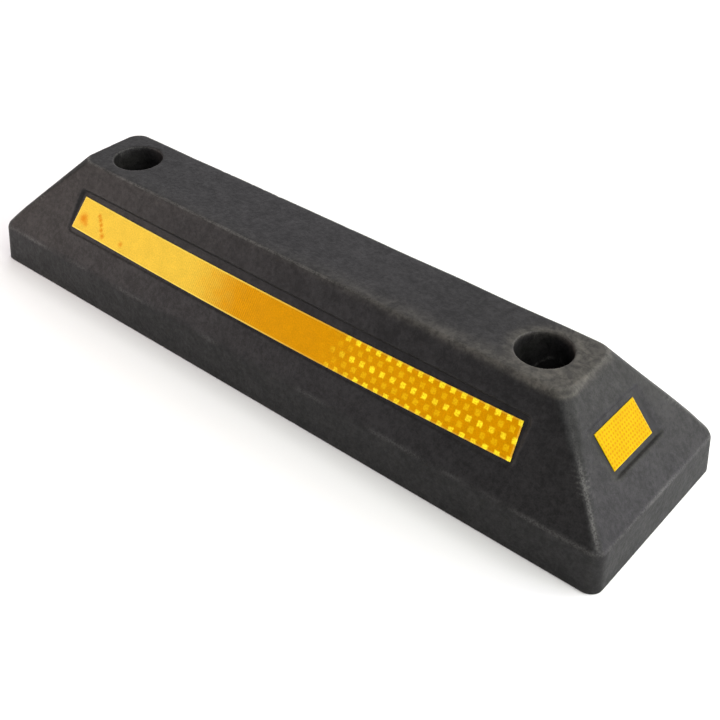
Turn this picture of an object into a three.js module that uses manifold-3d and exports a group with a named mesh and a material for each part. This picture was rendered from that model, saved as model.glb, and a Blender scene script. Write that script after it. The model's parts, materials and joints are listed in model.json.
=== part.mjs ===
// A moulded rubber parking wheel stop. The body is one block: a low plinth, four sloping faces and a flat
// top. Two stepped bolt holes run down through it, each sloping face has a shallow recess that holds a strip
// of reflective tape, and the underside has two rows of pockets between ribs.
// Millimetres. X runs along the stop, Y across it and Z up. The origin is under the middle, on the ground.
import * as THREE from "three";
import { ConvexGeometry } from "three/addons/geometries/ConvexGeometry.js";
import { mergeVertices } from "three/addons/utils/BufferGeometryUtils.js";
import Module from "manifold-3d";

// Outline of the body: its foot, the shoulder at the top of the plinth, and the flat top.
const BASE_LENGTH = 550;
const BASE_WIDTH = 146;
const PLINTH_DRAFT = 2.3;
const SHOULDER_HEIGHT = 30.5;
const TOP_LENGTH = 428.5;
const TOP_WIDTH = 56.5;
const TOP_HEIGHT = 92;
const PLINTH_CORNER_RADIUS = 9;
const TOP_CORNER_RADIUS = 10;
const CORNER_STEPS = 6;

// Softened edges of the moulding.
const FOOT_CHAMFER = 1.5;
const SHOULDER_REACH = 3;
const SHOULDER_INSET = 0.6;
const TOP_EDGE_RADIUS = 4;
const TOP_EDGE_STEPS = 4;

// Bolt holes: a wide counterbore from the top, and a narrower hole on down through the seat.
const BOLT_SPACING = 365;
const COUNTERBORE_RADIUS = 18.5;
const SEAT_HEIGHT = 30;
const BOLT_HOLE_RADIUS = 9;
const HOLE_SIDES = 48;

// Tape recesses and tapes. Each recess is centred on its sloping face, and its floor leans: a long one is deepest
// along its upper edge, and one on an end along its lower edge. The tapes were laid by hand: the long ones sag
// between their ends and sit a little low, and the one on the right end is a little to one side.
const LONG_RECESS_DEPTH = 1.3;
const LONG_RECESS_LEAN = -0.045;
const SHORT_RECESS_DEPTH = 1.4;
const SHORT_RECESS_LEAN = 0.042;
const RECESS_HEIGHT = 34;
const RECESS_CORNER_RADIUS = 3;
const LONG_RECESS_LENGTH = 406;
const SHORT_RECESS_LENGTH = 60;
const TAPE_HEIGHT = 25.4;
const TAPE_THICKNESS = 0.5;
const LONG_TAPE_LENGTH = 398;
const SHORT_TAPE_LENGTH = 44.5;
const LONG_TAPE_SAG = 2.6;
const LONG_TAPE_DROP = 1.4;
const RIGHT_TAPE_SHIFT = 2;
const TAPE_STEPS = 12;
const TOUCHING_GAP = 0.3;

// Pockets in the underside, on each side of a rib down the middle.
const POCKET_LENGTH = 40;
const POCKET_WIDTH = 46;
const POCKET_DEPTH = 6;
const POCKET_CORNER_RADIUS = 5;
const POCKET_ROW_OFFSET = 31;
const POCKET_CENTRES = [24, 72, 120, 238];

// How far a cutting tool runs past the face that it cuts, how many steps its rounded corners take, and how
// close two points must be to count as one.
const OVERRUN = 5;
const CURVE_STEPS = 4;
const SAME_POINT = 1e-4;

const halfTurn = Math.PI;
const quarterTurn = Math.PI / 2;

const wasm = await Module();
wasm.setup();

function solidFromGeometry(geometry) {
  const plain = geometry.index ? geometry.toNonIndexed() : geometry.clone();
  plain.deleteAttribute("normal");
  plain.deleteAttribute("uv");
  const merged = mergeVertices(plain, SAME_POINT);
  const vertProperties = new Float32Array(merged.attributes.position.array);
  const triVerts = new Uint32Array(merged.index.array);
  return new wasm.Manifold(new wasm.Mesh({ numProp: 3, vertProperties, triVerts }));
}

function geometryFromSolid(solid) {
  const mesh = solid.getMesh();
  const geometry = new THREE.BufferGeometry();
  geometry.setAttribute("position", new THREE.BufferAttribute(new Float32Array(mesh.vertProperties), 3));
  geometry.setIndex(new THREE.BufferAttribute(new Uint32Array(mesh.triVerts), 1));
  geometry.computeVertexNormals();
  return geometry;
}

// The body's half length, half width and corner radius at a height, before its edges are softened.
function outlineAt(z) {
  const ground = [BASE_LENGTH / 2, BASE_WIDTH / 2, PLINTH_CORNER_RADIUS];
  const shoulder = [BASE_LENGTH / 2 - PLINTH_DRAFT, BASE_WIDTH / 2 - PLINTH_DRAFT, PLINTH_CORNER_RADIUS];
  const top = [TOP_LENGTH / 2, TOP_WIDTH / 2, TOP_CORNER_RADIUS];
  const onPlinth = z <= SHOULDER_HEIGHT;
  const [low, high] = onPlinth ? [ground, shoulder] : [shoulder, top];
  const [lowest, highest] = onPlinth ? [FOOT_CHAMFER, SHOULDER_HEIGHT] : [SHOULDER_HEIGHT, TOP_HEIGHT];
  const share = THREE.MathUtils.clamp((z - lowest) / (highest - lowest), 0, 1);
  return low.map((value, i) => THREE.MathUtils.lerp(value, high[i], share));
}

// How far the rounded top edge stands in from the sharp one, on a face that slopes at this angle.
function topEdgeInset(drop, slope) {
  const arcDrop = TOP_EDGE_RADIUS * (1 - Math.cos(slope));
  if (drop >= arcDrop) {
    return 0;
  }
  const turned = Math.acos(1 - drop / TOP_EDGE_RADIUS);
  const tangent = TOP_EDGE_RADIUS * Math.tan(slope / 2);
  return tangent - TOP_EDGE_RADIUS * Math.sin(turned) + drop / Math.tan(slope);
}

function ringPoints(z, insetX, insetY) {
  const [halfX, halfY, radius] = outlineAt(z);
  const points = [];
  for (let corner = 0; corner < 4; corner += 1) {
    const signX = corner === 0 || corner === 3 ? 1 : -1;
    const signY = corner < 2 ? 1 : -1;
    for (let step = 0; step <= CORNER_STEPS; step += 1) {
      const angle = quarterTurn * (corner + step / CORNER_STEPS);
      const x = signX * (halfX - insetX - radius) + radius * Math.cos(angle);
      const y = signY * (halfY - insetY - radius) + radius * Math.sin(angle);
      points.push(new THREE.Vector3(x, y, z));
    }
  }
  return points;
}

// The sloping face that looks towards -Y after its group is turned back: where its middle is, and its tilt.
function slopingFace(halfAtShoulder, halfAtTop) {
  const rise = TOP_HEIGHT - SHOULDER_HEIGHT;
  const run = halfAtShoulder - halfAtTop;
  return {
    tilt: Math.atan2(rise, run),
    middle: new THREE.Vector3(0, -(halfAtShoulder + halfAtTop) / 2, (SHOULDER_HEIGHT + TOP_HEIGHT) / 2),
  };
}

const longFace = slopingFace(BASE_WIDTH / 2 - PLINTH_DRAFT, TOP_WIDTH / 2);
const shortFace = slopingFace(BASE_LENGTH / 2 - PLINTH_DRAFT, TOP_LENGTH / 2);
const longRecess = {
  face: longFace,
  recess: LONG_RECESS_LENGTH,
  depth: LONG_RECESS_DEPTH,
  lean: LONG_RECESS_LEAN,
};
const shortRecess = {
  face: shortFace,
  recess: SHORT_RECESS_LENGTH,
  depth: SHORT_RECESS_DEPTH,
  lean: SHORT_RECESS_LEAN,
};
const longTape = { length: LONG_TAPE_LENGTH, sag: LONG_TAPE_SAG, shift: 0, drop: LONG_TAPE_DROP };
const shortTape = { length: SHORT_TAPE_LENGTH, sag: 0, shift: 0, drop: 0 };
const sides = [
  { name: "front_tape", turn: 0, ...longRecess, ...longTape },
  { name: "back_tape", turn: halfTurn, ...longRecess, ...longTape },
  { name: "right_end_tape", turn: quarterTurn, ...shortRecess, ...shortTape, shift: -RIGHT_TAPE_SHIFT },
  { name: "left_end_tape", turn: -quarterTurn, ...shortRecess, ...shortTape },
];

// A group whose local XY plane is the recess floor: X along the face, Y up the slope, Z out of it.
function recessFloorFrame(side) {
  const { tilt, middle } = side.face;
  const floor = new THREE.Group();
  floor.rotation.x = tilt + side.lean;
  floor.position.set(0, middle.y + side.depth * Math.sin(tilt), middle.z - side.depth * Math.cos(tilt));
  const turned = new THREE.Group();
  turned.rotation.z = side.turn;
  turned.add(floor);
  turned.updateMatrixWorld(true);
  return { turned, floor };
}

function roundedRectangle(length, height, radius) {
  const [x, y] = [length / 2, height / 2];
  const shape = new THREE.Shape();
  shape.moveTo(-x + radius, -y);
  shape.lineTo(x - radius, -y);
  shape.absarc(x - radius, -y + radius, radius, -quarterTurn, 0);
  shape.lineTo(x, y - radius);
  shape.absarc(x - radius, y - radius, radius, 0, quarterTurn);
  shape.lineTo(-x + radius, y);
  shape.absarc(-x + radius, y - radius, radius, quarterTurn, halfTurn);
  shape.lineTo(-x, -y + radius);
  shape.absarc(-x + radius, -y + radius, radius, halfTurn, halfTurn + quarterTurn);
  return shape;
}

function recessCutter(side) {
  const shape = roundedRectangle(side.recess, RECESS_HEIGHT, RECESS_CORNER_RADIUS);
  const options = { depth: side.depth + OVERRUN, bevelEnabled: false, curveSegments: CURVE_STEPS };
  const geometry = new THREE.ExtrudeGeometry(shape, options);
  geometry.applyMatrix4(recessFloorFrame(side).floor.matrixWorld);
  return solidFromGeometry(geometry);
}

function boltHoleCutter(x) {
  const profile = [
    new THREE.Vector2(0, -OVERRUN),
    new THREE.Vector2(BOLT_HOLE_RADIUS, -OVERRUN),
    new THREE.Vector2(BOLT_HOLE_RADIUS, SEAT_HEIGHT),
    new THREE.Vector2(COUNTERBORE_RADIUS, SEAT_HEIGHT),
    new THREE.Vector2(COUNTERBORE_RADIUS, TOP_HEIGHT + OVERRUN),
    new THREE.Vector2(0, TOP_HEIGHT + OVERRUN),
  ];
  const geometry = new THREE.LatheGeometry(profile, HOLE_SIDES);
  geometry.rotateX(quarterTurn);
  geometry.translate(x, 0, 0);
  return solidFromGeometry(geometry);
}

function pocketCutter(x, y) {
  const shape = roundedRectangle(POCKET_LENGTH, POCKET_WIDTH, POCKET_CORNER_RADIUS);
  const options = { depth: POCKET_DEPTH + OVERRUN, bevelEnabled: false, curveSegments: CURVE_STEPS };
  const geometry = new THREE.ExtrudeGeometry(shape, options);
  geometry.translate(x, y, -OVERRUN);
  return solidFromGeometry(geometry);
}

function bodyGeometry() {
  const points = [...ringPoints(0, FOOT_CHAMFER, FOOT_CHAMFER), ...ringPoints(FOOT_CHAMFER, 0, 0)];
  points.push(...ringPoints(SHOULDER_HEIGHT - SHOULDER_REACH, 0, 0));
  points.push(...ringPoints(SHOULDER_HEIGHT, SHOULDER_INSET, SHOULDER_INSET));
  points.push(...ringPoints(SHOULDER_HEIGHT + SHOULDER_REACH, 0, 0));
  const edgeDrop = TOP_EDGE_RADIUS * (1 - Math.cos(longFace.tilt));
  for (let step = 0; step <= TOP_EDGE_STEPS; step += 1) {
    const drop = edgeDrop * (step / TOP_EDGE_STEPS) ** 2;
    const insetX = topEdgeInset(drop, shortFace.tilt);
    const insetY = topEdgeInset(drop, longFace.tilt);
    points.push(...ringPoints(TOP_HEIGHT - drop, insetX, insetY));
  }
  let body = solidFromGeometry(new ConvexGeometry(points));
  for (const side of sides) {
    body = body.subtract(recessCutter(side));
  }
  for (const end of [-1, 1]) {
    body = body.subtract(boltHoleCutter((end * BOLT_SPACING) / 2));
    for (const centre of POCKET_CENTRES) {
      for (const row of [-POCKET_ROW_OFFSET, POCKET_ROW_OFFSET]) {
        body = body.subtract(pocketCutter(end * centre, row));
      }
    }
  }
  return geometryFromSolid(body);
}

// A strip whose long edges dip in the middle by the sag.
function tapeGeometry(length, sag) {
  const dip = (x) => sag * ((2 * x) / length) ** 2 - sag / 2;
  const steps = sag > 0 ? TAPE_STEPS : 1;
  const xs = Array.from({ length: steps + 1 }, (_, i) => length * (i / steps - 0.5));
  const low = xs.map((x) => new THREE.Vector2(x, dip(x) - TAPE_HEIGHT / 2));
  const high = xs.map((x) => new THREE.Vector2(x, dip(x) + TAPE_HEIGHT / 2)).reverse();
  const options = { depth: TAPE_THICKNESS, bevelEnabled: false };
  return new THREE.ExtrudeGeometry(new THREE.Shape([...low, ...high]), options);
}

const rubber = new THREE.MeshStandardMaterial({ color: 0x2b2a2b, roughness: 0.85, metalness: 0 });
const group = new THREE.Group();

const body = new THREE.Mesh(bodyGeometry(), rubber);
body.name = "rubber_body";
group.add(body);

for (const side of sides) {
  const film = new THREE.MeshStandardMaterial({ color: 0xf2b51c, roughness: 0.35, metalness: 0 });
  const tape = new THREE.Mesh(tapeGeometry(side.length, side.sag), film);
  tape.name = side.name;
  tape.position.set(side.shift, -side.drop, TOUCHING_GAP);
  const { turned, floor } = recessFloorFrame(side);
  floor.add(tape);
  group.add(turned);
}

export default group;
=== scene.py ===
"""Looks for a moulded rubber parking wheel stop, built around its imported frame.

Shapes are worked out in millimetres and go into meshes in metres. The rubber is meshed from a distance field,
which is negative inside it. X runs along the stop, Y across it and Z up. The front is the long face on the -Y
side.
"""
import json
import math

import bpy
import numpy as np
from mathutils import Matrix, Vector


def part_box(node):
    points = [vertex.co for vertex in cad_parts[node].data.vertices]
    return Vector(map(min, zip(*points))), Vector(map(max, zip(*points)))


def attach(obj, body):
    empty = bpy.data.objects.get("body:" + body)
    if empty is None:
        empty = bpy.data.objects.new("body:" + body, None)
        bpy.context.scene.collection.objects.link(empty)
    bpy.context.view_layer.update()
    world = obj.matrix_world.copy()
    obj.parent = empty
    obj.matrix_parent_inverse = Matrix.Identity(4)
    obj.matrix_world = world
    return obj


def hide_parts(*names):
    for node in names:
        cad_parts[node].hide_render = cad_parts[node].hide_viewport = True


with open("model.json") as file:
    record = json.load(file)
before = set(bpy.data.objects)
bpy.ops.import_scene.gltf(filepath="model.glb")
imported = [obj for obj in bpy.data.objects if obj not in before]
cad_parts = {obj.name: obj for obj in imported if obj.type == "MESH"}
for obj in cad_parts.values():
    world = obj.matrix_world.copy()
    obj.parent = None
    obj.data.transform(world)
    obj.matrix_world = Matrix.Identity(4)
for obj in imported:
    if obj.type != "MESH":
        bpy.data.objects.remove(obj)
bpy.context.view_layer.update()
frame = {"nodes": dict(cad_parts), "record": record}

MM = 0.001

# ---- sizes, in millimetres: from the frame where it holds them, the rest as the CAD model has them

BODY_LOW, BODY_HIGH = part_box("rubber_body")
HALF_LENGTH = (BODY_HIGH.x - BODY_LOW.x) / 2 / MM
HALF_WIDTH = (BODY_HIGH.y - BODY_LOW.y) / 2 / MM
TOP = BODY_HIGH.z / MM
MOUNTS = {mount["name"]: mount for mount in frame["record"]["mounts"]}
BOLT_X = MOUNTS["right_bolt_seat"]["pos_m"][0] / MM
SEAT = MOUNTS["right_bolt_seat"]["pos_m"][2] / MM

SHOULDER = 30.5
DRAFT = 2.3
HALF_TOP_LENGTH = 214.25
HALF_TOP_WIDTH = 28.25
PLINTH_CORNER_RADIUS = 9
HIP_SHARES = (0, 0.10, 0.25, 0.45, 0.65, 1.0)     # of the way from the shoulder up to the top
HIP_RADII = (PLINTH_CORNER_RADIUS, 6.5, 4.5, 5, 7.5, 11)
SHOULDER_BLEND = 2.0
TOP_EDGE_ROUNDING = 1.1
FOOT_ROUNDING = 1.6
FIELD_SCALE = 0.8        # the outline is measured level, so this brings it near the true distance on a slope

COUNTERBORE_RADIUS = 18.5
COUNTERBORE_DRAFT = 0.015
BOLT_HOLE_RADIUS = 9
HOLE_LIP = 0.9
SEAT_FILLET = 2.5
BOLT_HOLE_LIP = 0.25

LONG_RECESS_DEPTH = 1.3
LONG_RECESS_LEAN = -0.045        # the floor of a long recess is deepest along its upper edge
SHORT_RECESS_DEPTH = 1.4
SHORT_RECESS_LEAN = 0.042        # and the floor of an end's recess along its lower edge
RECESS_HALF_HEIGHT = 17
LONG_RECESS_HALF_LENGTH = 203
SHORT_RECESS_HALF_LENGTH = 30
RECESS_CORNER_RADIUS = 3.5
RECESS_WALL_DRAFT = 0.25
LONG_RECESS_END_DRAFT = 1.0      # the recesses run out gently at their two ends
SHORT_RECESS_END_DRAFT = 3.5
RECESS_FILLET = 0.8
RECESS_LIP = 0.5

POCKET_CENTRES = (24, 72, 120, 238)
POCKET_ROW = 31
POCKET_HALF_LENGTH = 20
POCKET_HALF_WIDTH = 23
POCKET_DEPTH = 6
POCKET_CORNER_RADIUS = 5
POCKET_FILLET = 1.0

# ---- distance field of the rubber


def rounded_cut(a, b, radius):
    """The distance to what lies inside both a and b, with the edge between them rounded."""
    outside = np.hypot(np.maximum(a + radius, 0), np.maximum(b + radius, 0))
    return np.minimum(np.maximum(a, b), -radius) + outside


def rounded_rectangle(x, y, half_x, half_y, radius):
    """Distance in the plane to a rectangle with round corners, centred on 0, 0."""
    dx = np.abs(x) - half_x + radius
    dy = np.abs(y) - half_y + radius
    return np.hypot(np.maximum(dx, 0), np.maximum(dy, 0)) + np.minimum(np.maximum(dx, dy), 0) - radius


def half_size_at(z, half_foot, half_top):
    """Half the length or width at a height: the plinth wall below the shoulder and the slope above, blended."""
    half_shoulder = half_foot - DRAFT
    wall = half_shoulder + DRAFT * (SHOULDER - z) / SHOULDER
    face = half_shoulder - (z - SHOULDER) * (half_shoulder - half_top) / (TOP - SHOULDER)
    blend = np.maximum(SHOULDER_BLEND - np.abs(wall - face), 0)
    return np.minimum(wall, face) - blend ** 2 / (4 * SHOULDER_BLEND)


def slope(half_foot, half_top):
    """A sloping face's run, rise and length, and how far out and how high its middle is."""
    run, rise = half_foot - DRAFT - half_top, TOP - SHOULDER
    return run, rise, math.hypot(run, rise), (half_foot - DRAFT + half_top) / 2, (SHOULDER + TOP) / 2


def recess(along, across, z, half_foot, half_top, half_length, depth, lean, end_draft):
    """Distance to the tape recess in a sloping face: along it, and across, measured out from the middle."""
    run, rise, length, middle_out, middle_up = slope(half_foot, half_top)
    out = across - middle_out
    up = z - middle_up
    up_slope = (up * rise - out * run) / length
    above = (out * rise + up * run) / length
    walls = rounded_rectangle(
        along, up_slope, half_length + end_draft * above, RECESS_HALF_HEIGHT + RECESS_WALL_DRAFT * above,
        RECESS_CORNER_RADIUS,
    )
    return rounded_cut(walls, -above - depth + lean * up_slope, RECESS_FILLET)


def block_field(points):
    """Distance from each point to the block that the rubber fills before anything is cut out of it."""
    x, y, z = points[..., 0], points[..., 1], points[..., 2]
    corner = np.interp((z - SHOULDER) / (TOP - SHOULDER), HIP_SHARES, HIP_RADII)
    half_x = half_size_at(z, HALF_LENGTH, HALF_TOP_LENGTH)
    half_y = half_size_at(z, HALF_WIDTH, HALF_TOP_WIDTH)
    field = rounded_rectangle(x, y, half_x, half_y, corner) * FIELD_SCALE
    field = rounded_cut(field, z - TOP, TOP_EDGE_ROUNDING)
    return rounded_cut(field, -z, FOOT_ROUNDING)


def rubber_field(points):
    """Distance from each point to the surface of the rubber, near enough, and negative inside."""
    x, y, z = points[..., 0], points[..., 1], points[..., 2]
    x_out, y_out = np.abs(x), np.abs(y)
    field = block_field(points)
    long_recess = recess(
        x, y_out, z, HALF_WIDTH, HALF_TOP_WIDTH, LONG_RECESS_HALF_LENGTH, LONG_RECESS_DEPTH,
        LONG_RECESS_LEAN, LONG_RECESS_END_DRAFT,
    )
    short_recess = recess(
        y, x_out, z, HALF_LENGTH, HALF_TOP_LENGTH, SHORT_RECESS_HALF_LENGTH, SHORT_RECESS_DEPTH,
        SHORT_RECESS_LEAN, SHORT_RECESS_END_DRAFT,
    )
    field = rounded_cut(field, -long_recess, RECESS_LIP)
    field = rounded_cut(field, -short_recess, RECESS_LIP)

    from_bolt = np.hypot(x_out - BOLT_X, y)
    bore_radius = COUNTERBORE_RADIUS - COUNTERBORE_DRAFT * (TOP - z)
    counterbore = rounded_cut(from_bolt - bore_radius, SEAT - z, SEAT_FILLET)
    field = rounded_cut(field, -counterbore, HOLE_LIP)
    field = rounded_cut(field, BOLT_HOLE_RADIUS - from_bolt, BOLT_HOLE_LIP)

    for centre in POCKET_CENTRES:
        pocket = rounded_rectangle(
            x_out - centre, y_out - POCKET_ROW, POCKET_HALF_LENGTH, POCKET_HALF_WIDTH, POCKET_CORNER_RADIUS
        )
        pocket = rounded_cut(pocket, z - POCKET_DEPTH, POCKET_FILLET)
        field = rounded_cut(field, -pocket, POCKET_FILLET)
    return field


def field_slope(points, step=0.05):
    """The gradient of the rubber's field, by central differences."""
    gradient = np.empty_like(points)
    for axis in range(3):
        shift = np.zeros(3)
        shift[axis] = step
        gradient[:, axis] = (rubber_field(points + shift) - rubber_field(points - shift)) / (2 * step)
    return gradient


# ---- meshing the field

VOXEL = 1.0
GRID_MARGIN = 3.0
SLAB_COLUMNS = 40        # of the grid at a time, to keep the arrays small
RIPPLE_WAVES = 14
RIPPLE_SPREAD = (0.7, 1.5)       # of the wavelength asked for
CORNERS = np.array([(i, j, k) for i in (0, 1) for j in (0, 1) for k in (0, 1)])
CELL_EDGES = [(a, b) for a in range(8) for b in range(a + 1, 8) if np.abs(CORNERS[a] - CORNERS[b]).sum() == 1]


def sampled_field():
    """The field on a grid round the whole body, worked out a slab at a time, and the grid's lowest corner."""
    low = np.array([-HALF_LENGTH, -HALF_WIDTH, 0]) - GRID_MARGIN
    counts = np.ceil((np.array([HALF_LENGTH, HALF_WIDTH, TOP]) + GRID_MARGIN - low) / VOXEL).astype(int) + 1
    xs, ys, zs = (low[axis] + VOXEL * np.arange(counts[axis]) for axis in range(3))
    grid = np.empty(counts, np.float32)
    for start in range(0, counts[0], SLAB_COLUMNS):
        slab = np.stack(np.meshgrid(xs[start:start + SLAB_COLUMNS], ys, zs, indexing="ij"), -1)
        grid[start:start + SLAB_COLUMNS] = rubber_field(slab)
    return grid, low


def surface_net(grid, low):
    """Vertices and quads of the surface where the grid is 0.

    There is a vertex in each cell that the surface crosses, and a quad, facing out, round each grid edge that it
    crosses.
    """
    inside = grid < 0
    cells = tuple(n - 1 for n in grid.shape)
    count = np.zeros(cells, np.uint8)
    for i, j, k in CORNERS:
        count += inside[i:cells[0] + i, j:cells[1] + j, k:cells[2] + k]
    where = np.argwhere((count > 0) & (count < 8))
    index = np.full(cells, -1, np.int32)
    index[tuple(where.T)] = np.arange(len(where))

    values = np.stack([grid[tuple((where + corner).T)] for corner in CORNERS], 1)
    total = np.zeros((len(where), 3))
    crossings = np.zeros(len(where))
    for a, b in CELL_EDGES:
        crossed = (values[:, a] < 0) != (values[:, b] < 0)
        share = np.where(crossed, values[:, a] / np.where(crossed, values[:, a] - values[:, b], 1), 0)
        total += crossed[:, None] * (CORNERS[a] + share[:, None] * (CORNERS[b] - CORNERS[a]))
        crossings += crossed
    vertices = low + VOXEL * (where + total / crossings[:, None])

    quads = []
    for axis in range(3):
        second, third = (axis + 1) % 3, (axis + 2) % 3
        ahead = np.eye(3, dtype=int)
        edges = np.argwhere(np.roll(inside, -1, axis) != inside)
        edges = edges[edges[:, axis] < inside.shape[axis] - 1]
        around = [
            index[tuple((edges - ahead[second] * s - ahead[third] * t).T)]
            for s, t in ((1, 1), (0, 1), (0, 0), (1, 0))
        ]
        quad = np.stack(around, 1)
        facing_back = ~inside[tuple(edges.T)]
        quad[facing_back] = quad[facing_back][:, ::-1]
        quads.append(quad)
    return vertices, np.concatenate(quads)


def mesh_from_arrays(name, vertices, faces):
    """A smooth-shaded mesh of faces that all have the same number of corners, from millimetres."""
    mesh = bpy.data.meshes.new(name)
    sides = faces.shape[1]
    mesh.vertices.add(len(vertices))
    mesh.vertices.foreach_set("co", (vertices * MM).astype(np.float32).ravel())
    mesh.loops.add(faces.size)
    mesh.loops.foreach_set("vertex_index", faces.astype(np.int32).ravel())
    mesh.polygons.add(len(faces))
    mesh.polygons.foreach_set("loop_start", np.arange(0, faces.size, sides, dtype=np.int32))
    mesh.update(calc_edges=True)
    mesh.validate()
    mesh.shade_smooth()
    return mesh


def vertex_array(mesh):
    """The mesh's vertices, in millimetres."""
    flat = np.empty(len(mesh.vertices) * 3, np.float32)
    mesh.vertices.foreach_get("co", flat)
    return flat.reshape(-1, 3).astype(float) / MM


def add_attribute(mesh, name, values):
    """A number or a vector on each vertex, for the materials to read."""
    kind, key = ("FLOAT", "value") if values.ndim == 1 else ("FLOAT_VECTOR", "vector")
    mesh.attributes.new(name, kind, "POINT").data.foreach_set(key, values.astype(np.float32).ravel())


def ripples(points, wavelength, seed):
    """Smooth random waves through space, about -1 to 1, with lengths near the one asked for."""
    rng = np.random.default_rng(seed)
    directions = rng.normal(size=(RIPPLE_WAVES, 3))
    directions /= np.linalg.norm(directions, axis=1)[:, None]
    lengths = wavelength * rng.uniform(*RIPPLE_SPREAD, RIPPLE_WAVES)
    phases = rng.uniform(0, 2 * math.pi, RIPPLE_WAVES)
    total = sum(
        np.cos(points @ (2 * math.pi * d / length) + phase)
        for d, length, phase in zip(directions, lengths, phases)
    )
    return total / math.sqrt(2 * RIPPLE_WAVES)


def smooth_step(value, low, high):
    """Smoothly from 0 to 1 as the value goes from low to high."""
    share = np.clip((value - low) / (high - low), 0, 1)
    return share * share * (3 - 2 * share)


def add_object(name, mesh, material):
    piece = bpy.data.objects.new(name, mesh)
    bpy.context.scene.collection.objects.link(piece)
    mesh.materials.append(material)
    return piece


# ---- the rubber body

MOST_TRIANGLES = 180_000
PROJECTIONS = 3          # moves of the vertices on to the field's surface
LEAST_STEEPNESS = 0.2
SWELLS = ((0.14, 70, 3), (0.03, 16, 4))  # each with its height, its wavelength and its seed
SWELL_START = 8          # the height above the ground where it is full
NICK_COUNT = 60
NICK_SEED = 9
NICK_RADII = (0.8, 2.0)
NICK_DEPTHS = (0.08, 0.3)
NICK_REACH = 12
ARC_STEPS = 4
HIP_POINTS = 9
DIAGONAL_CUT = 1 - math.sqrt(0.5)        # of a corner's radius, how far its arc is inside the sharp corner

DUST_BAND = (-60, 190)   # along the front edge of the top, from faint to full
DUST_BAND_WIDTH = 9
DUST_BAND_FAINT = 0.1
DUST_BAND_GAIN = 0.75
DUST_CORNER = (10, 6)    # in from the top's right end and from its front edge
DUST_CORNER_REACH = 16
DUST_END = (165, 200)
DUST_END_STRENGTH = 0.75
DUST_RING_GAP = 2        # out from the edge of the right bolt hole
DUST_RING_WIDTH = 4
DUST_RING_STRENGTH = 0.7

RIM_LINE_WIDTH = 0.9
RIM_STRENGTH, RIM_PATCHES = 0.12, 0.1
FRONT_RIM_STRENGTH, FRONT_RIM_LOSS = 0.45, 0.35
# a painted highlight along each end rim, where the light catches the edge
FRONT_RIM_FADE = (-10, 140)      # along the front, over which the loss comes in
END_RIM_PAINTED_HIGHLIGHT = 0.45
END_RIM_HIGHLIGHT_FADE = (-22, 5)  # across each end, from its front: the painted highlight along the end rim grows towards the back
SHOULDER_LINE_WIDTH = 1.5
SHOULDER_PATCHES, SHOULDER_AT_ENDS = 0.2, 0.25
HIP_LINE_WIDTH = 1.3
HIP_STRENGTH, HIP_FOOT_STRENGTH = 0.08, 0.5
HIP_FOOT_FADE = (0.35, 0.8)      # of the way up a hip
PATCH_LENGTH, PATCH_SEED = 34, 21
BOLT_LINE_WIDTH = 0.7
BOLT_LINE_STRENGTH = 0.2
HATCH_LINE_WIDTH = 5.0
HATCH_STRENGTH = 0.4
HATCH_HEIGHT = 0.42      # of the way up a hip
HATCH_REACH = 0.09
HATCH_RATE, HATCH_SLANT = 2.6, 0.35

EDGE_REACH = 1.6         # how far round each vertex an outer edge is looked for
CORNER_SHADE_REACH = 2.5      # and an inner corner, for the painted shade there


def thinned(mesh, most_triangles):
    """The mesh with flat stretches in fewer, larger triangles."""
    holder = bpy.data.objects.new("thinning", mesh)
    bpy.context.scene.collection.objects.link(holder)
    triangles = sum(len(p.vertices) - 2 for p in mesh.polygons)
    modifier = holder.modifiers.new("fewer", "DECIMATE")
    modifier.ratio = min(1.0, most_triangles / triangles)
    depsgraph = bpy.context.evaluated_depsgraph_get()
    result = bpy.data.meshes.new_from_object(holder.evaluated_get(depsgraph))
    bpy.data.objects.remove(holder)
    bpy.data.meshes.remove(mesh)
    return result


def ring(half_x, half_y, radius, z):
    """Points round a rectangle with round corners, ending where they start."""
    points = []
    for turn, (side_x, side_y) in enumerate(((1, 1), (-1, 1), (-1, -1), (1, -1))):
        centre = np.array([side_x * (half_x - radius), side_y * (half_y - radius), z])
        for angle in (turn + np.arange(ARC_STEPS + 1) / ARC_STEPS) * math.pi / 2:
            points.append(centre + radius * np.array([math.cos(angle), math.sin(angle), 0]))
    return points + points[:1]


def body_edges():
    """Lines along the body's edges above the ground: the shoulder, the rim of the top and the four hips."""
    shoulder_x, shoulder_y = HALF_LENGTH - DRAFT, HALF_WIDTH - DRAFT
    edges = {
        "shoulder": [ring(shoulder_x, shoulder_y, PLINTH_CORNER_RADIUS, SHOULDER)],
        "rim": [ring(HALF_TOP_LENGTH, HALF_TOP_WIDTH, HIP_RADII[-1], TOP)],
        "hip": [],
    }
    for side_x, side_y in ((-1, -1), (1, -1), (1, 1), (-1, 1)):
        hip = []
        for share in np.linspace(0, 1, HIP_POINTS):
            cut_back = DIAGONAL_CUT * np.interp(share, HIP_SHARES, HIP_RADII)
            x = shoulder_x + (HALF_TOP_LENGTH - shoulder_x) * share - cut_back
            y = shoulder_y + (HALF_TOP_WIDTH - shoulder_y) * share - cut_back
            hip.append(np.array([side_x * x, side_y * y, SHOULDER + (TOP - SHOULDER) * share]))
        edges["hip"].append(hip)
    return edges


def edge_pieces(lines):
    """The straight pieces that the lines are made of, each from one point to the next."""
    return [(a, b) for line in lines for a, b in zip(line, line[1:])]


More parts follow.
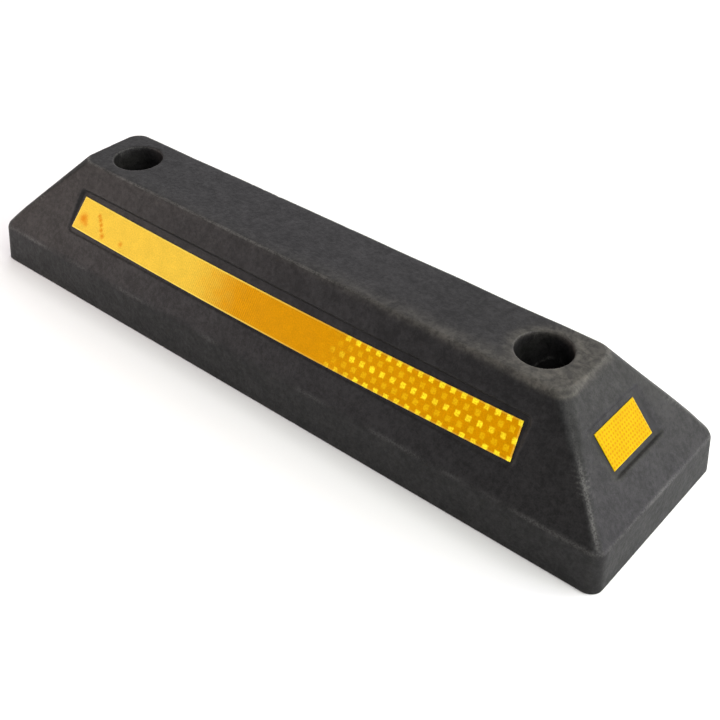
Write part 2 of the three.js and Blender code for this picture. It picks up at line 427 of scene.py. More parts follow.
def nicked(vertices, normals):
    """The vertices with small dents along the body's edges, as handling leaves in soft rubber."""
    rng = np.random.default_rng(NICK_SEED)
    edges = [piece for lines in body_edges().values() for piece in edge_pieces(lines)]
    lengths = np.array([np.linalg.norm(b - a) for a, b in edges])
    depth_here = np.zeros(len(vertices))
    for edge in rng.choice(len(edges), NICK_COUNT, p=lengths / lengths.sum()):
        a, b = edges[edge]
        place = a + (b - a) * rng.uniform()
        radius, depth = rng.uniform(*NICK_RADII), rng.uniform(*NICK_DEPTHS)
        near = np.flatnonzero(np.abs(vertices - place).max(1) < NICK_REACH)
        if not len(near):
            continue
        centre = vertices[near[np.argmin(((vertices[near] - place) ** 2).sum(1))]]
        from_centre = ((vertices[near] - centre) ** 2).sum(1)
        depth_here[near] += depth * np.exp(-from_centre / (2 * radius ** 2))
    return vertices - normals * depth_here[:, None]


def rubber_mesh():
    """The rubber's surface, slightly swollen and nicked as a used moulding is."""
    vertices, quads = surface_net(*sampled_field())
    for _ in range(PROJECTIONS):
        gradient = field_slope(vertices)
        steepness = np.maximum((gradient ** 2).sum(1), LEAST_STEEPNESS)
        vertices -= (rubber_field(vertices) / steepness)[:, None] * gradient
    gradient = field_slope(vertices)
    normals = gradient / np.linalg.norm(gradient, axis=1)[:, None]
    off_ground = np.clip(vertices[:, 2] / SWELL_START, 0, 1)
    swell = sum(height * ripples(vertices, wavelength, seed) for height, wavelength, seed in SWELLS)
    vertices = nicked(vertices + normals * (swell * off_ground)[:, None], normals)
    return thinned(mesh_from_arrays("rubber_body_skin", vertices, quads), MOST_TRIANGLES)


def bulge(field, vertices, reach):
    """How far each vertex stands out from what is near it: above 0 on outer edges, below 0 in inner corners."""
    around = np.zeros(len(vertices))
    for axis in range(3):
        shift = np.zeros(3)
        shift[axis] = reach
        around += field(vertices + shift) + field(vertices - shift)
    return (around - 6 * field(vertices)) / reach


def dust(vertices):
    """Where pale dust lies on the top: along its front edge, at its right end and round the right bolt."""
    x, y, z = vertices.T
    on_top = smooth_step(z, TOP - 5, TOP - 0.5)
    band_strength = DUST_BAND_FAINT + DUST_BAND_GAIN * smooth_step(x, *DUST_BAND)
    front_band = np.exp(-((y + HALF_TOP_WIDTH) / DUST_BAND_WIDTH) ** 2) * band_strength
    corner_x, corner_y = x - HALF_TOP_LENGTH + DUST_CORNER[0], y + HALF_TOP_WIDTH - DUST_CORNER[1]
    corner = np.exp(-(corner_x ** 2 + corner_y ** 2) / (2 * DUST_CORNER_REACH ** 2))
    right_end = DUST_END_STRENGTH * smooth_step(x, *DUST_END)
    from_ring = np.hypot(x - BOLT_X, y) - COUNTERBORE_RADIUS - DUST_RING_GAP
    round_bolt = DUST_RING_STRENGTH * np.exp(-(from_ring / DUST_RING_WIDTH) ** 2)
    return np.clip(on_top * (front_band + corner + right_end + round_bolt), 0, 1)


def near_lines(vertices, lines, width):
    """1 on the lines, fading out over the width to each side of them."""
    nearest = np.full(len(vertices), np.inf)
    for a, b in edge_pieces(lines):
        step = b - a
        share = np.clip((vertices - a) @ step / (step @ step), 0, 1)
        nearest = np.minimum(nearest, ((vertices - a - share[:, None] * step) ** 2).sum(1))
    return np.exp(-nearest / width ** 2)


def rubbed_and_highlit_edges(vertices):
    """Pale rubbed lines: round the top and its bolt holes, down the hips and in stretches along the shoulder.

    The strengths, from 0 to 1, are highest along the left of the front rim, towards the back of the two end rims,
    where the line is a painted highlight, not wear, and at the foot of each hip. A patch of fine hatching crosses
    each hip below its middle.
    """
    x, y, z = vertices.T
    lines = body_edges()
    patches = smooth_step(ripples(vertices, PATCH_LENGTH, PATCH_SEED), -0.2, 0.8)
    height = (z - SHOULDER) / (TOP - SHOULDER)
    on_front = smooth_step(-y, 10, 24)
    on_end = smooth_step(np.abs(x), 205, 225)
    front = FRONT_RIM_STRENGTH - FRONT_RIM_LOSS * smooth_step(x, *FRONT_RIM_FADE)
    rim = RIM_STRENGTH + RIM_PATCHES * patches + on_front * front
    # painted highlight along each end rim, stronger towards its back
    rim = np.maximum(rim, on_end * smooth_step(y, *END_RIM_HIGHLIGHT_FADE) * END_RIM_PAINTED_HIGHLIGHT)
    hip_foot = 1 - smooth_step(height, *HIP_FOOT_FADE)
    hip = HIP_STRENGTH + HIP_FOOT_STRENGTH * hip_foot * (0.5 + 0.5 * patches)
    beside_end = smooth_step(x, 205, 250) * (1 - on_end)
    shoulder = SHOULDER_PATCHES * patches + on_end * SHOULDER_AT_ENDS + SHOULDER_AT_ENDS * beside_end
    rubbed_and_highlit = near_lines(vertices, lines["rim"], RIM_LINE_WIDTH) * rim
    rubbed_and_highlit = np.maximum(rubbed_and_highlit, near_lines(vertices, lines["shoulder"], SHOULDER_LINE_WIDTH) * shoulder)
    rubbed_and_highlit = np.maximum(rubbed_and_highlit, near_lines(vertices, lines["hip"], HIP_LINE_WIDTH) * hip)
    from_bolt_rim = np.hypot(np.abs(x) - BOLT_X, y) - COUNTERBORE_RADIUS
    round_bolt = np.exp(-(from_bolt_rim / BOLT_LINE_WIDTH) ** 2)
    rubbed_and_highlit = np.maximum(rubbed_and_highlit, BOLT_LINE_STRENGTH * round_bolt * smooth_step(z, TOP - 2, TOP - 0.5))
    hatching = smooth_step(np.sin(z * HATCH_RATE - HATCH_SLANT * np.abs(x)), 0.2, 0.9)
    hatched = hatching * np.exp(-((height - HATCH_HEIGHT) / HATCH_REACH) ** 2)
    return np.maximum(rubbed_and_highlit, HATCH_STRENGTH * near_lines(vertices, lines["hip"], HATCH_LINE_WIDTH) * hatched)


# ---- tapes

TAPE_LIFT = 0.3          # clear of the recess floor, as in the CAD model
TAPE_THICKNESS = 0.5
TAPE_UNDERSIDE = 0.25    # above the recess floor, except at the rim, where it meets the upper side
LONG_TAPE_SAG = 2.6
LONG_TAPE_SLANT = 1.4
TAPE_CELL = 1.5
RIM_STEPS = (0, 0.12, 0.4)
TAPE_WAVES = (0.05, 22, 11)      # height, wavelength and seed
WAVES_START = 3          # in from the rim, where they are full

BUBBLE = (-191.5, -3.5)  # its place along and up the tape
BUBBLE_HEIGHT = 0.3
BUBBLE_SPREAD = (18, 8)  # twice its squared reach each way
WRINKLE_START = -179
WRINKLE_LENGTH = 15
WRINKLE_TOP = 2.5
WRINKLE_DROP = 12.5
WRINKLE_HEIGHT = 0.28
WRINKLE_WIDTH = 1.3
WRINKLE_SWAY, WRINKLE_SWAY_RATE = 1.1, 9
WRINKLE_FADE_IN, WRINKLE_FADE_OUT = (-181, -176), (-166, -162)


class Tape:
    """A reflective tape in its recess: which way its face looks, and the piece of the CAD model it replaces."""

    def __init__(self, node, outward, half_foot, half_top, recess_depth, lean, sag=0.0):
        self.node = node
        self.sag = sag
        run, rise, length, middle_out, middle_up = slope(half_foot, half_top)
        outward, up = np.array(outward, float), np.array([0, 0, 1.0])
        up_face, out_of_face = (rise * up - run * outward) / length, (rise * outward + run * up) / length
        self.along = np.cross(up, outward)
        self.up_slope = math.cos(lean) * up_face + math.sin(lean) * out_of_face
        self.out = math.cos(lean) * out_of_face - math.sin(lean) * up_face
        self.floor = middle_out * outward + middle_up * up - recess_depth * out_of_face
        local = vertex_array(frame["nodes"][node].data) - self.floor
        places = np.stack([local @ self.along, local @ self.up_slope], 1)
        low, high = places.min(0), places.max(0)
        self.middle = (low + high) / 2
        self.half_length, self.half_height = (high - low) / 2
        self.half_height -= sag / 2

    def dip(self, u):
        """How far up the slope the tape lies at u along it, from its mean, as it sags in the middle."""
        return self.sag * ((u / self.half_length) ** 2 - 0.5)


def spaced(half, cell):
    """Places from -half to half, with extra ones near the two rims."""
    rim = np.array(RIM_STEPS)
    inner = half - rim[-1]
    middle = np.linspace(-inner, inner, max(3, round(2 * inner / cell) + 1))
    return np.concatenate([rim[:-1] - half, middle, (half - rim[:-1])[::-1]])


def blister(u, v):
    """Height of a trapped bubble and a wrinkle near the left end of a long tape."""
    bubble = BUBBLE_HEIGHT * np.exp(
        -((u - BUBBLE[0]) ** 2 / BUBBLE_SPREAD[0] + (v - BUBBLE[1]) ** 2 / BUBBLE_SPREAD[1])
    )
    along = np.clip((u - WRINKLE_START) / WRINKLE_LENGTH, 0, 1)
    line = WRINKLE_TOP - WRINKLE_DROP * along + WRINKLE_SWAY * np.sin(along * WRINKLE_SWAY_RATE)
    within = smooth_step(u, *WRINKLE_FADE_IN) * (1 - smooth_step(u, *WRINKLE_FADE_OUT))
    return bubble + WRINKLE_HEIGHT * np.exp(-((v - line) / WRINKLE_WIDTH) ** 2) * within


def quads_of(*corners):
    """Four-cornered faces, from an array of vertex numbers for each of their corners."""
    return np.stack([corner.ravel() for corner in corners], 1)


def tape_mesh(tape, slant):
    """A closed sheet with a rounded rim, lying over the recess floor.

    Each vertex's place goes into tape_place, in millimetres: the distances along it, down from its upper edge and
    from the nearest rim.
    """
    us, vs = spaced(tape.half_length, TAPE_CELL), spaced(tape.half_height, TAPE_CELL)
    u, v = np.meshgrid(us, vs, indexing="ij")
    from_rim = np.minimum(tape.half_length - np.abs(u), tape.half_height - np.abs(v))
    rounding = np.sqrt(1 - (1 - np.clip(from_rim / RIM_STEPS[-1], 0, 1)) ** 2)
    shifted = u - slant * np.sign(u) * v / tape.half_height * np.abs(u / tape.half_length) ** 6
    flat = np.stack([u.ravel(), v.ravel(), np.zeros(u.size)], 1)
    wave_height, wavelength, seed = TAPE_WAVES
    waves = wave_height * ripples(flat, wavelength, seed).reshape(u.shape)
    waves *= np.clip(from_rim / WAVES_START, 0, 1)
    if tape.sag:
        waves += blister(u, v)
    top = TAPE_LIFT + TAPE_THICKNESS * rounding + waves
    bottom = np.where(from_rim > 0, TAPE_UNDERSIDE, top)

    def in_place(height):
        across = (tape.middle[0] + shifted)[..., None] * tape.along
        upward = (tape.middle[1] + v + tape.dip(u))[..., None] * tape.up_slope
        return (tape.floor + across + upward + height[..., None] * tape.out).reshape(-1, 3)

    index = np.arange(u.size).reshape(u.shape)
    under = index + u.size
    on_rim = from_rim <= 0
    under[on_rim] = index[on_rim]
    upper = quads_of(index[:-1, :-1], index[1:, :-1], index[1:, 1:], index[:-1, 1:])
    lower = quads_of(under[:-1, :-1], under[:-1, 1:], under[1:, 1:], under[1:, :-1])
    vertices = np.concatenate([in_place(top), in_place(bottom)])
    place = np.stack([u, tape.half_height - v, from_rim], -1).reshape(-1, 3)
    place = np.concatenate([place, place])
    used = np.concatenate([np.ones(u.size, bool), ~on_rim.ravel()])
    renumbered = np.cumsum(used) - 1
    faces = renumbered[np.concatenate([upper, lower])]
    mesh = mesh_from_arrays(tape.node + "_film", vertices[used], faces)
    add_attribute(mesh, "tape_place", place[used])
    return mesh


# ---- materials


class Paint:
    """A material being put together: each method adds a node and returns its output."""

    def __init__(self, name):
        self.material = bpy.data.materials.new(name)
        self.material.use_nodes = True
        self.tree = self.material.node_tree
        self.shader = self.tree.nodes["Principled BSDF"]

    def add(self, kind, output, inputs, **settings):
        node = self.tree.nodes.new(kind)
        for key, value in settings.items():
            setattr(node, key, value)
        for key, value in inputs.items():
            self.connect(node.inputs[key], value)
        return node.outputs[output]

    def connect(self, socket, value):
        if isinstance(value, bpy.types.NodeSocket):
            self.tree.links.new(value, socket)
        else:
            socket.default_value = value

    def math(self, operation, a, b=0.0, clamp=False):
        return self.add("ShaderNodeMath", 0, {0: a, 1: b}, operation=operation, use_clamp=clamp)

    def noise(self, place, size, detail=3.0, distortion=0.0, roughness=0.5):
        """Clouds about 0.5, with features about this many millimetres across."""
        inputs = {
            "Vector": place, "Scale": 1 / (size * MM), "Detail": detail, "Distortion": distortion,
            "Roughness": roughness,
        }
        return self.add("ShaderNodeTexNoise", "Fac", inputs)

    def step(self, value, low, high, to_low=0.0, to_high=1.0):
        """Smoothly from to_low to to_high as the value goes from low to high."""
        inputs = {"Value": value, "From Min": low, "From Max": high, "To Min": to_low, "To Max": to_high}
        return self.add("ShaderNodeMapRange", "Result", inputs, interpolation_type="SMOOTHSTEP")

    def linear(self, value, low, high, to_low, to_high):
        """Evenly from to_low to to_high as the value goes from low to high, and no further."""
        inputs = {"Value": value, "From Min": low, "From Max": high, "To Min": to_low, "To Max": to_high}
        return self.add("ShaderNodeMapRange", "Result", inputs)

    def mix(self, share, a, b, blend="MIX"):
        """Colour a at a share of 0 and colour b at 1."""
        a, b = ((*c, 1) if isinstance(c, tuple) and len(c) == 3 else c for c in (a, b))
        return self.add("ShaderNodeMix", 2, {0: share, 6: a, 7: b}, data_type="RGBA", blend_type=blend)

    def attribute(self, name, output="Fac"):
        return self.add("ShaderNodeAttribute", output, {}, attribute_name=name)

    def object_place(self, stretch=(1, 1, 1), turn=(0, 0, 0)):
        place = self.add("ShaderNodeTexCoord", "Object", {})
        return self.add("ShaderNodeMapping", 0, {"Vector": place, "Scale": stretch, "Rotation": turn})

    def grey(self, value):
        """A grey of this brightness."""
        return self.add("ShaderNodeCombineColor", 0, {channel: value for channel in range(3)})

    def tape_place(self):
        """The place on a tape, in millimetres, and its parts: the distances along, down and from a rim."""
        place = self.attribute("tape_place", "Vector")
        return place, *(self.add("ShaderNodeSeparateXYZ", axis, {"Vector": place}) for axis in "XYZ")

    def scaled(self, vector, factors):
        return self.add("ShaderNodeVectorMath", 0, {0: vector, 1: factors}, operation="MULTIPLY")

    def bump(self, height, distance):
        inputs = {"Height": height, "Distance": distance * MM, "Strength": 1.0}
        self.connect(self.shader.inputs["Normal"], self.add("ShaderNodeBump", 0, inputs))

    def film_finish(self, colour, flecks):
        """Sets a tape's colour, and the gloss that is the same on all the tapes."""
        self.connect(self.shader.inputs["Base Color"], colour)
        self.connect(self.shader.inputs["Roughness"], self.linear(flecks, 0.2, 0.8, *FILM_ROUGHNESS))
        self.shader.inputs["Specular IOR Level"].default_value = FILM_SHINE
        self.shader.inputs["Specular Tint"].default_value = (*FILM_SHINE_TINT, 1)


RUBBER_SHINE = 0.235
RUBBER_DARK = (0.0015, 0.0014, 0.0014)
RUBBER_PALE = (0.0130, 0.0123, 0.0124)
SCUFF_COLOUR = (0.150, 0.145, 0.138)
DUST_COLOUR = (0.074, 0.068, 0.058)
DRIFT_SIZE, MOTTLE_SIZE, SPECKLE_SIZE, GRAIN_SIZE = 75, 11, 3.0, 1.0       # millimetres
SMEAR_SIZE, STRETCH_SIZE = 7, 34
RUBBER_MIDDLE_TONE = 0.42
DRIFT_TONE = 0.12
MOTTLE_TONE, SPECKLE_TONE, GRAIN_TONE = 1.7, 2.0, 1.6      # how far each of the clouds moves the tone
SMEAR_TONE = 0.4
SCUFFED_SHARE = 0.35
# how dark the painted shade in inner corners, recesses and hollows is
PAINTED_CORNER_SHADE_TONE = 0.4
RUBBER_ROUGHNESS = (0.60, 0.52)
MOTTLE_ROUGHNESS = (0.03, -0.03)
DUST_ROUGHNESS = 0.12
RUBBER_BUMP = 0.17       # millimetres
GRAIN_BUMP = 0.4         # beside 1 for the speckle and for the mottle


def rubber_material():
    """Moulded rubber: near black and mottled, dusty on top, pale along its edges, with painted shade in its
    corners.
    """
    paint = Paint("rubber")
    place = paint.object_place()
    drift = paint.noise(place, DRIFT_SIZE, detail=2)
    mottle = paint.noise(place, MOTTLE_SIZE, detail=4, distortion=0.8, roughness=0.62)
    speckle = paint.noise(place, SPECKLE_SIZE, detail=3, roughness=0.6)
    grain = paint.noise(place, GRAIN_SIZE, detail=2)
    slanted = paint.object_place((0.35, 1, 1), (0.5, 0.3, 0.6))
    smears = paint.noise(slanted, SMEAR_SIZE, detail=4, distortion=1.2)

    tone = paint.linear(drift, 0.35, 0.65, -DRIFT_TONE, DRIFT_TONE)
    for cloud, weight in ((mottle, MOTTLE_TONE), (speckle, SPECKLE_TONE), (grain, GRAIN_TONE)):
        tone = paint.math("ADD", tone, paint.linear(cloud, 0, 1, -weight / 2, weight / 2))
    tone = paint.math("ADD", tone, paint.step(smears, 0.56, 0.75, 0, SMEAR_TONE))
    colour = paint.mix(paint.math("ADD", tone, RUBBER_MIDDLE_TONE, clamp=True), RUBBER_DARK, RUBBER_PALE)

    edge = paint.attribute("edge")
    stretches = paint.step(paint.noise(place, STRETCH_SIZE, detail=3, roughness=0.6), 0.40, 0.58)
    stipple = paint.math(
        "MULTIPLY", paint.step(speckle, 0.36, 0.60, 0.25, 1), paint.step(grain, 0.35, 0.6, 0.4, 1)
    )
    scuffed = paint.math("MULTIPLY", paint.math("MULTIPLY", paint.step(edge, 0.30, 0.95), stretches), stipple)
    colour = paint.mix(paint.math("MULTIPLY", scuffed, SCUFFED_SHARE), colour, SCUFF_COLOUR)
    # pale rubbed wear, and the painted highlight along the end rims
    rubbed_and_highlit = paint.math("MULTIPLY", paint.attribute("rubbed_and_highlit"), paint.step(grain, 0.35, 0.6, 0.3, 1))
    colour = paint.mix(rubbed_and_highlit, colour, SCUFF_COLOUR)
    dusty = paint.math("MULTIPLY", paint.attribute("dust"), paint.step(mottle, 0.3, 0.65, 0.35, 1))
    dusty = paint.math("MULTIPLY", dusty, paint.step(speckle, 0.3, 0.7, 0.5, 1))
    colour = paint.mix(dusty, colour, DUST_COLOUR)
    # painted shade: the base colour is darkened in inner corners, recesses and hollows
    painted_corner_shade = paint.grey(paint.step(paint.attribute("painted_corner_shade"), -0.9, -0.15, PAINTED_CORNER_SHADE_TONE, 1))
    paint.connect(paint.shader.inputs["Base Color"], paint.mix(1.0, colour, painted_corner_shade, "MULTIPLY"))

    roughness = paint.linear(speckle, 0.25, 0.75, *RUBBER_ROUGHNESS)
    roughness = paint.math("ADD", roughness, paint.linear(mottle, 0.25, 0.75, *MOTTLE_ROUGHNESS))
    roughness = paint.math("ADD", roughness, paint.math("MULTIPLY", dusty, DUST_ROUGHNESS))
    paint.connect(paint.shader.inputs["Roughness"], roughness)
    paint.shader.inputs["Specular IOR Level"].default_value = RUBBER_SHINE
    height = paint.math("MULTIPLY", grain, GRAIN_BUMP)
    for cloud in (speckle, mottle):
        height = paint.math("ADD", height, cloud)
    paint.bump(height, RUBBER_BUMP)
    return paint.material


FILM_SHINE = 0.05
FILM_SHINE_TINT = (1.0, 0.72, 0.12)
FILM_ROUGHNESS = (0.3, 0.42)
FILM_BUMP = 0.03         # millimetres
SQUARE_PITCH = 8.25
ROW_PITCH = 5.65
FIRST_ROW = 1.8          # down from the tape's upper edge
JITTER_SIZE = 3
ROW_JITTER, COLUMN_JITTER = 0.16, 0.12   # of a pitch
SQUARE_SIDES, SQUARE_ENDS = (0.16, 0.28), (0.24, 0.42)     # of a pitch out from the middle, where each fades
PAINTED_REFLECTION_FADE = (-80, -22)   # along the tape, where the painted reflection on the film fades into its deep colour
WANDER = 18              # how far the clouds move that, and the start of the squares
RIBS_IN, RIBS_OUT = (-110, -45), (-25, 10)
SQUARES_IN = (48, 80)
RIB_PITCH = 1.7
RIB_TONE = 0.12
FLECK_TONE, CLOUD_TONE = 0.16, 0.08
LATTICE_PITCH = 5.2

# the film's colour with a reflection of the light painted into it, for the left end of the long tapes
TAPE_PALE_PAINTED_REFLECTION = (0.70, 0.45, 0.042)
TAPE_DEEP = (0.57, 0.24, 0.0)
TAPE_DIM_SQUARE = (0.66, 0.33, 0.0)
TAPE_BRIGHT_SQUARE = (0.98, 0.80, 0.02)
TAPE_EDGE = (0.85, 0.62, 0.10)
TAPE_STAIN = (0.60, 0.20, 0.003)
STAINS = (                # each with its place along and down the tape, its reach and its strength
    (-191, 15.5, 6.5, 1.0), (-187, 18.5, 3.5, 0.6), (-177, 8, 2.6, 0.8), (-174.5, 10.5, 2.6, 0.9),
    (-172, 13.5, 2.6, 0.9), (-170, 17, 2.6, 0.9), (-167, 20.5, 3.2, 0.9), (-147, 19, 3.2, 0.7),
)


def tape_squares(paint, u, down, flat):
    """How strongly each place shows a prism square, and how bright that square is, in rows that alternate."""
    jitter = paint.noise(paint.scaled(flat, (MM, MM, 0)), JITTER_SIZE)
    row_place = paint.math("DIVIDE", paint.math("SUBTRACT", down, FIRST_ROW), ROW_PITCH)
    row_place = paint.math("ADD", row_place, paint.linear(jitter, 0, 1, -ROW_JITTER, ROW_JITTER))
    row = paint.math("ROUND", row_place)
    odd_row = paint.math("FLOORED_MODULO", row, 2)
    along = paint.math("ADD", paint.math("DIVIDE", u, SQUARE_PITCH), paint.math("MULTIPLY", odd_row, 0.5))
    along = paint.math("ADD", along, paint.linear(jitter, 0, 1, COLUMN_JITTER, -COLUMN_JITTER))
    column = paint.math("ROUND", along)
    off_column = paint.math("ABSOLUTE", paint.math("SUBTRACT", along, column))
    off_row = paint.math("ABSOLUTE", paint.math("SUBTRACT", row_place, row))
    inside = paint.math(
        "MULTIPLY", paint.step(off_column, *SQUARE_SIDES, 1, 0), paint.step(off_row, *SQUARE_ENDS, 1, 0)
    )
    cell = paint.add("ShaderNodeCombineXYZ", 0, {"X": column, "Y": row})
    chance = paint.add("ShaderNodeTexWhiteNoise", "Value", {"Vector": cell}, noise_dimensions="3D")
    row_tone = paint.linear(odd_row, 0, 1, 1, 0.2)
    bright = paint.math("MULTIPLY", row_tone, paint.linear(chance, 0, 1, 0.55, 1.15))
    return inside, bright


def long_tape_material():
    """Prismatic reflective film: pale yellow at its left end, where a reflection is painted into its colour,
    deeper and with rows of squares at its right.
    """
    paint = Paint("reflective_tape")
    place, u, down, from_rim = paint.tape_place()
    flat = paint.scaled(place, (1, 1, 0))
    metres = paint.scaled(flat, (MM, MM, 0))
    clouds = paint.noise(metres, 9, detail=3)
    flecks = paint.noise(metres, 1.1, detail=2)

    wander = paint.math("ADD", u, paint.linear(clouds, 0, 1, -WANDER, WANDER))
    # painted reflection: the film is pale at its left end and fades into its deep colour
    colour = paint.mix(paint.step(wander, *PAINTED_REFLECTION_FADE), TAPE_PALE_PAINTED_REFLECTION, TAPE_DEEP)
    rib = paint.math("SINE", paint.math("MULTIPLY", u, 2 * math.pi / RIB_PITCH))
    rib_zone = paint.math("MULTIPLY", paint.step(u, *RIBS_IN), paint.step(u, *RIBS_OUT, 1, 0))
    ribs = paint.math("MULTIPLY", rib, rib_zone)
    shade = paint.math("ADD", paint.math("MULTIPLY", ribs, RIB_TONE), 1.0)
    shade = paint.math("ADD", shade, paint.linear(flecks, 0.2, 0.8, -FLECK_TONE, FLECK_TONE))
    shade = paint.math("ADD", shade, paint.linear(clouds, 0.2, 0.8, -CLOUD_TONE, CLOUD_TONE))
    colour = paint.mix(1.0, colour, paint.grey(shade), "MULTIPLY")

    inside, bright = tape_squares(paint, u, down, flat)
    fading_in = paint.step(wander, *SQUARES_IN)
    colour_of_square = paint.mix(bright, TAPE_DIM_SQUARE, TAPE_BRIGHT_SQUARE)
    glint = paint.step(flecks, 0.35, 0.6, 0.5, 1)
    square = paint.math("MULTIPLY", paint.math("MULTIPLY", inside, fading_in), glint)
    colour = paint.mix(square, colour, colour_of_square)

    for middle_u, middle_down, reach, depth in STAINS:
        away = paint.add(
            "ShaderNodeVectorMath", "Value",
            {0: flat, 1: (middle_u, middle_down, 0)}, operation="DISTANCE",
        )
        stained = paint.step(paint.math("ADD", away, paint.linear(flecks, 0, 1, -1.5, 1)), 0, reach, depth, 0)
        colour = paint.mix(stained, colour, TAPE_STAIN)
    cut_edge = paint.math("MULTIPLY", paint.step(from_rim, 0.6, 1.3, 0.8, 0), paint.step(u, -40, 60, 1, 0.3))
    colour = paint.mix(cut_edge, colour, TAPE_EDGE)
    paint.film_finish(colour, flecks)
    paint.bump(paint.math("ADD", paint.math("MULTIPLY", inside, fading_in), ribs), FILM_BUMP)
    return paint.material


# the same film as the long tapes, set darker as painted shade against the brighter light on the right end
END_TAPE_DARK = (0.38, 0.17, 0.0)
END_TAPE_PALE = (0.42, 0.285, 0.0)
END_TAPE_EDGE = (0.50, 0.34, 0.01)


def short_tape_material():
    """The same film cut short, seen with its fine diagonal prism lattice. Its colours are darker than the long
    tapes', as painted shade against the brighter light on the right end.
    """
    paint = Paint("reflective_tape_end")
    place, u, down, from_rim = paint.tape_place()
    metres = paint.scaled(place, (MM, MM, 0))
    clouds = paint.noise(metres, 12, detail=3)
    flecks = paint.noise(metres, 1.6, detail=2)
    waves = []
    for sign in (1, -1):
        slanted = paint.math("ADD", u, paint.math("MULTIPLY", down, sign))
        waves.append(paint.math("COSINE", paint.math("MULTIPLY", slanted, 2 * math.pi / LATTICE_PITCH)))
    lattice = paint.math("MULTIPLY", waves[0], waves[1])
    tone = paint.step(lattice, 0.0, 0.8, 0.35, -0.8)
    tone = paint.math("ADD", tone, paint.linear(clouds, 0.2, 0.8, -0.3, 0.3))
    tone = paint.math("ADD", tone, paint.linear(flecks, 0.2, 0.8, -0.4, 0.4))
    tone = paint.math("ADD", tone, 0.5, clamp=True)
    colour = paint.mix(tone, END_TAPE_DARK, END_TAPE_PALE)
    colour = paint.mix(paint.step(from_rim, 0.4, 1.0, 0.6, 0), colour, END_TAPE_EDGE)
    paint.film_finish(colour, flecks)
    paint.bump(lattice, FILM_BUMP)
    return paint.material


# ---- camera, floor and light, in metres, but for the lens and its sensor in millimetres

CAMERA_AZIMUTH = math.radians(39.69)
CAMERA_ELEVATION = math.radians(38.16)
CAMERA_ROLL = math.radians(0.62)
CAMERA_DISTANCE = 0.7538
CAMERA_AIM = Vector((0.06326, -0.02929, 0.040))
CAMERA_LENS = 56.72
SENSOR_WIDTH = 36

FLOOR_LOW = (0.88, 0.88, 0.88)
FLOOR_HIGH = (0.90, 0.90, 0.90)
FLOOR_CLOUD = 400        # millimetres
FLOOR_ROUGHNESS = 0.9
FLOOR_SHINE = 0.2
FLOOR_REACH = 2.4        # each way from the middle

WORLD_FRONT = 0.03
WORLD_BEHIND = 1.8
WORLD_RIGHT = 0.9
WORLD_HORIZON = 1.0
SIDE_FADE = (-0.2, 1.0)  # across or along the sky's unit sphere
HORIZON_FADE = (0.06, 0.14)      # and up it

LIGHTS = (               # each with its name, place, width, height, watts and colour, all aimed at the middle
    ("right", (1.7, 0.1, 1.0), 1.0, 0.8, 18.4, (0.95, 1.0, 0.85)),
    ("right_low", (1.3, 0.4, 0.35), 0.8, 0.4, 5.0, (0.62, 0.50, 1.0)),
    ("right_behind", (1.0, 0.9, 0.75), 0.6, 0.6, 7.5, (0.97, 1.0, 0.75)),
    ("left_behind", (-1.0, 1.2, 1.2), 0.9, 0.9, 2.2, (0.91, 0.72, 1.0)),
    ("left_near", (-0.75, -0.5, 0.3), 0.35, 0.3, 2.7, (1.0, 0.82, 0.72)),
    ("left_front", (-0.55, -0.75, 0.35), 0.35, 0.3, 1.9, (0.90, 0.86, 1.0)),
    ("right_front", (1.2, -1.0, 1.6), 1.2, 1.0, 16, (1.0, 1.0, 1.0)),
)


def add_camera():
    azimuth, elevation = CAMERA_AZIMUTH, CAMERA_ELEVATION
    back = Vector((
        math.sin(azimuth) * math.cos(elevation), -math.cos(azimuth) * math.cos(elevation), math.sin(elevation)
    ))
    right = Vector((0, 0, 1)).cross(back).normalized()
    up = back.cross(right)
    turned_right = right * math.cos(CAMERA_ROLL) + up * math.sin(CAMERA_ROLL)
    turned_up = up * math.cos(CAMERA_ROLL) - right * math.sin(CAMERA_ROLL)
    data = bpy.data.cameras.new("camera")
    data.lens = CAMERA_LENS
    data.sensor_width = SENSOR_WIDTH
    camera = bpy.data.objects.new("camera", data)
    bpy.context.scene.collection.objects.link(camera)
    turn = Matrix((turned_right, turned_up, back)).transposed().to_4x4()
    camera.matrix_world = Matrix.Translation(CAMERA_AIM + back * CAMERA_DISTANCE) @ turn
    bpy.context.scene.camera = camera


def add_area_light(name, place, width, height, power, colour):
    data = bpy.data.lights.new(name, "AREA")
    data.shape = "RECTANGLE"
    data.size, data.size_y = width, height
    data.energy = power
    data.color = colour
    lamp = bpy.data.objects.new(name, data)
    bpy.context.scene.collection.objects.link(lamp)
    lamp.location = place
    lamp.visible_camera = False
    lamp.rotation_euler = (-Vector(place)).to_track_quat("-Z", "Y").to_euler()


def paper_material():
    paint = Paint("floor_paper")
    clouds = paint.noise(paint.object_place(), FLOOR_CLOUD)
    paint.connect(paint.shader.inputs["Base Color"], paint.mix(clouds, FLOOR_LOW, FLOOR_HIGH))
    paint.shader.inputs["Roughness"].default_value = FLOOR_ROUGHNESS
    paint.shader.inputs["Specular IOR Level"].default_value = FLOOR_SHINE
    return paint.material


def add_floor():
    mesh = bpy.data.meshes.new("floor")
    corners = [(x * FLOOR_REACH, y * FLOOR_REACH, 0) for x, y in ((-1, -1), (1, -1), (1, 1), (-1, 1))]
    mesh.from_pydata(corners, [], [(0, 1, 2, 3)])
    floor = add_object("floor", mesh, paper_material())


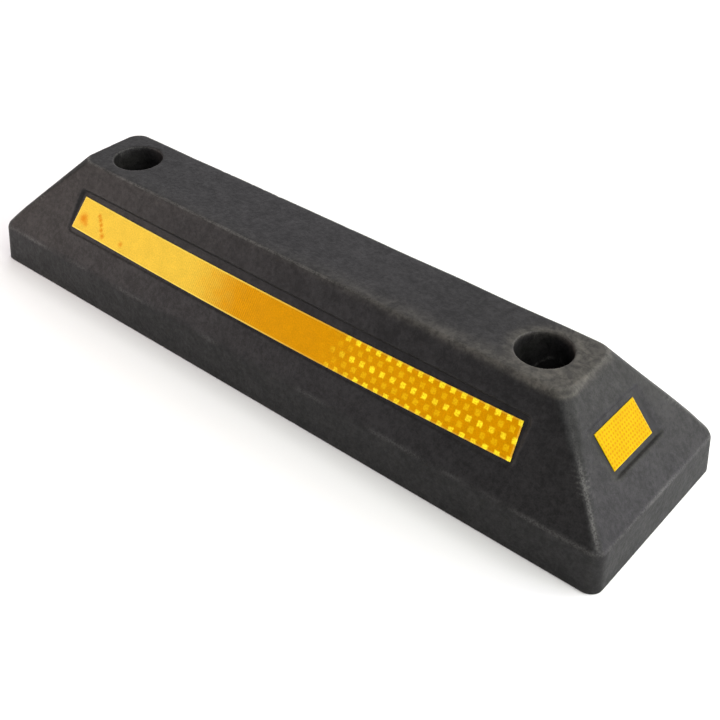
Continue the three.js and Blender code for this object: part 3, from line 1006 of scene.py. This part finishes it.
def add_world():
    """Studio light: bright behind the stop, dim in front of it, with a pale band along the horizon."""
    world = bpy.data.worlds.new("studio")
    bpy.context.scene.world = world
    world.use_nodes = True
    nodes, links = world.node_tree.nodes, world.node_tree.links

    def add(kind, output, inputs, **settings):
        node = nodes.new(kind)
        for key, value in settings.items():
            setattr(node, key, value)
        for key, value in inputs.items():
            if isinstance(value, bpy.types.NodeSocket):
                links.new(value, node.inputs[key])
            else:
                node.inputs[key].default_value = value
        return node.outputs[output]

    def step(value, low, high, to_low, to_high):
        inputs = {"Value": value, "From Min": low, "From Max": high, "To Min": to_low, "To Max": to_high}
        return add("ShaderNodeMapRange", "Result", inputs, interpolation_type="SMOOTHSTEP")

    direction = add("ShaderNodeTexCoord", "Generated", {})
    x, y, z = (add("ShaderNodeSeparateXYZ", axis, {"Vector": direction}) for axis in "XYZ")
    behind = step(y, *SIDE_FADE, WORLD_FRONT, WORLD_BEHIND)
    right = step(x, *SIDE_FADE, 0.0, WORLD_RIGHT)
    sides = add("ShaderNodeMath", 0, {0: behind, 1: right}, operation="ADD")
    horizon = step(z, *HORIZON_FADE, WORLD_HORIZON, 0.0)
    strength = add("ShaderNodeMath", 0, {0: sides, 1: horizon}, operation="MAXIMUM")
    background = nodes["Background"]
    background.inputs["Color"].default_value = (1, 1, 1, 1)
    links.new(strength, background.inputs["Strength"])


# ---- the scene

add_camera()
add_world()
for light in LIGHTS:
    add_area_light(*light)
add_floor()
bpy.context.scene.view_settings.view_transform = "Standard"

body = add_object("wheel_stop_rubber", rubber_mesh(), rubber_material())
body_vertices = vertex_array(body.data)
add_attribute(body.data, "edge", bulge(block_field, body_vertices, EDGE_REACH))
# where the painted shade goes: inner corners, recesses and hollows
add_attribute(body.data, "painted_corner_shade", bulge(rubber_field, body_vertices, CORNER_SHADE_REACH))
add_attribute(body.data, "dust", dust(body_vertices))
# rubbed wear, and a painted highlight along the end rims
add_attribute(body.data, "rubbed_and_highlit", rubbed_and_highlit_edges(body_vertices))
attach(body, "root")
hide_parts("rubber_body")

long_film, short_film = long_tape_material(), short_tape_material()
LONG_FACE = (HALF_WIDTH, HALF_TOP_WIDTH, LONG_RECESS_DEPTH, LONG_RECESS_LEAN)
SHORT_FACE = (HALF_LENGTH, HALF_TOP_LENGTH, SHORT_RECESS_DEPTH, SHORT_RECESS_LEAN)
TAPES = [
    (Tape("front_tape", (0, -1, 0), *LONG_FACE, sag=LONG_TAPE_SAG), long_film, LONG_TAPE_SLANT),
    (Tape("back_tape", (0, 1, 0), *LONG_FACE, sag=LONG_TAPE_SAG), long_film, LONG_TAPE_SLANT),
    (Tape("right_end_tape", (1, 0, 0), *SHORT_FACE), short_film, 0.0),
    (Tape("left_end_tape", (-1, 0, 0), *SHORT_FACE), short_film, 0.0),
]
for tape, film, slant in TAPES:
    strip = add_object(tape.node + "_strip", tape_mesh(tape, slant), film)
    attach(strip, "root")
    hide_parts(tape.node)
